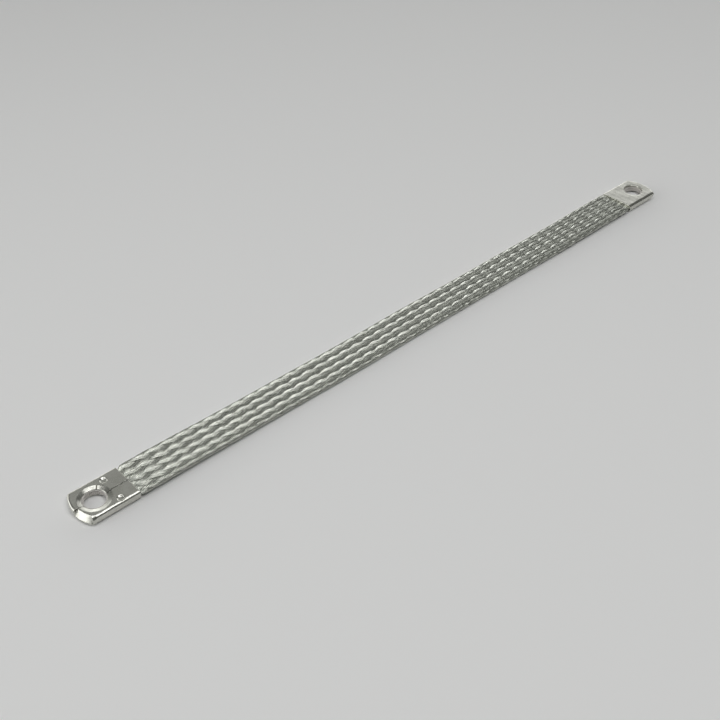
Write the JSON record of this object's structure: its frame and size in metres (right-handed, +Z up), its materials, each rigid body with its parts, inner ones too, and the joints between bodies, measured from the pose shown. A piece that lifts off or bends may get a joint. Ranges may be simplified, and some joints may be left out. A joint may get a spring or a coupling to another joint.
{
  "type": "flexible busbar braid",
  "caption": "Flat braid of tinned-copper wires with a pressed ferrule and an M8 bolt hole at each end, for a flexible link between busbars or to earth",
  "frame": {"origin": "on the surface that the strap lies on, below the middle of its length and width", "axes": "+X along the strap from the near ferrule to the far ferrule, +Y across it, +Z up and square to the ferrules' flat faces"},
  "size_m": [0.3, 0.0166, 0.0034],
  "materials": {
    "tinned_wire": "woven from fine bright tinned-copper wires",
    "tinned_sheet": "pressed tinned-copper sheet, satin, with fine rub marks"
  },
  "bodies": {
    "root": {"braid": "tinned_wire", "near_ferrule": "tinned_sheet", "far_ferrule": "tinned_sheet"}
  },
  "joints": []
}
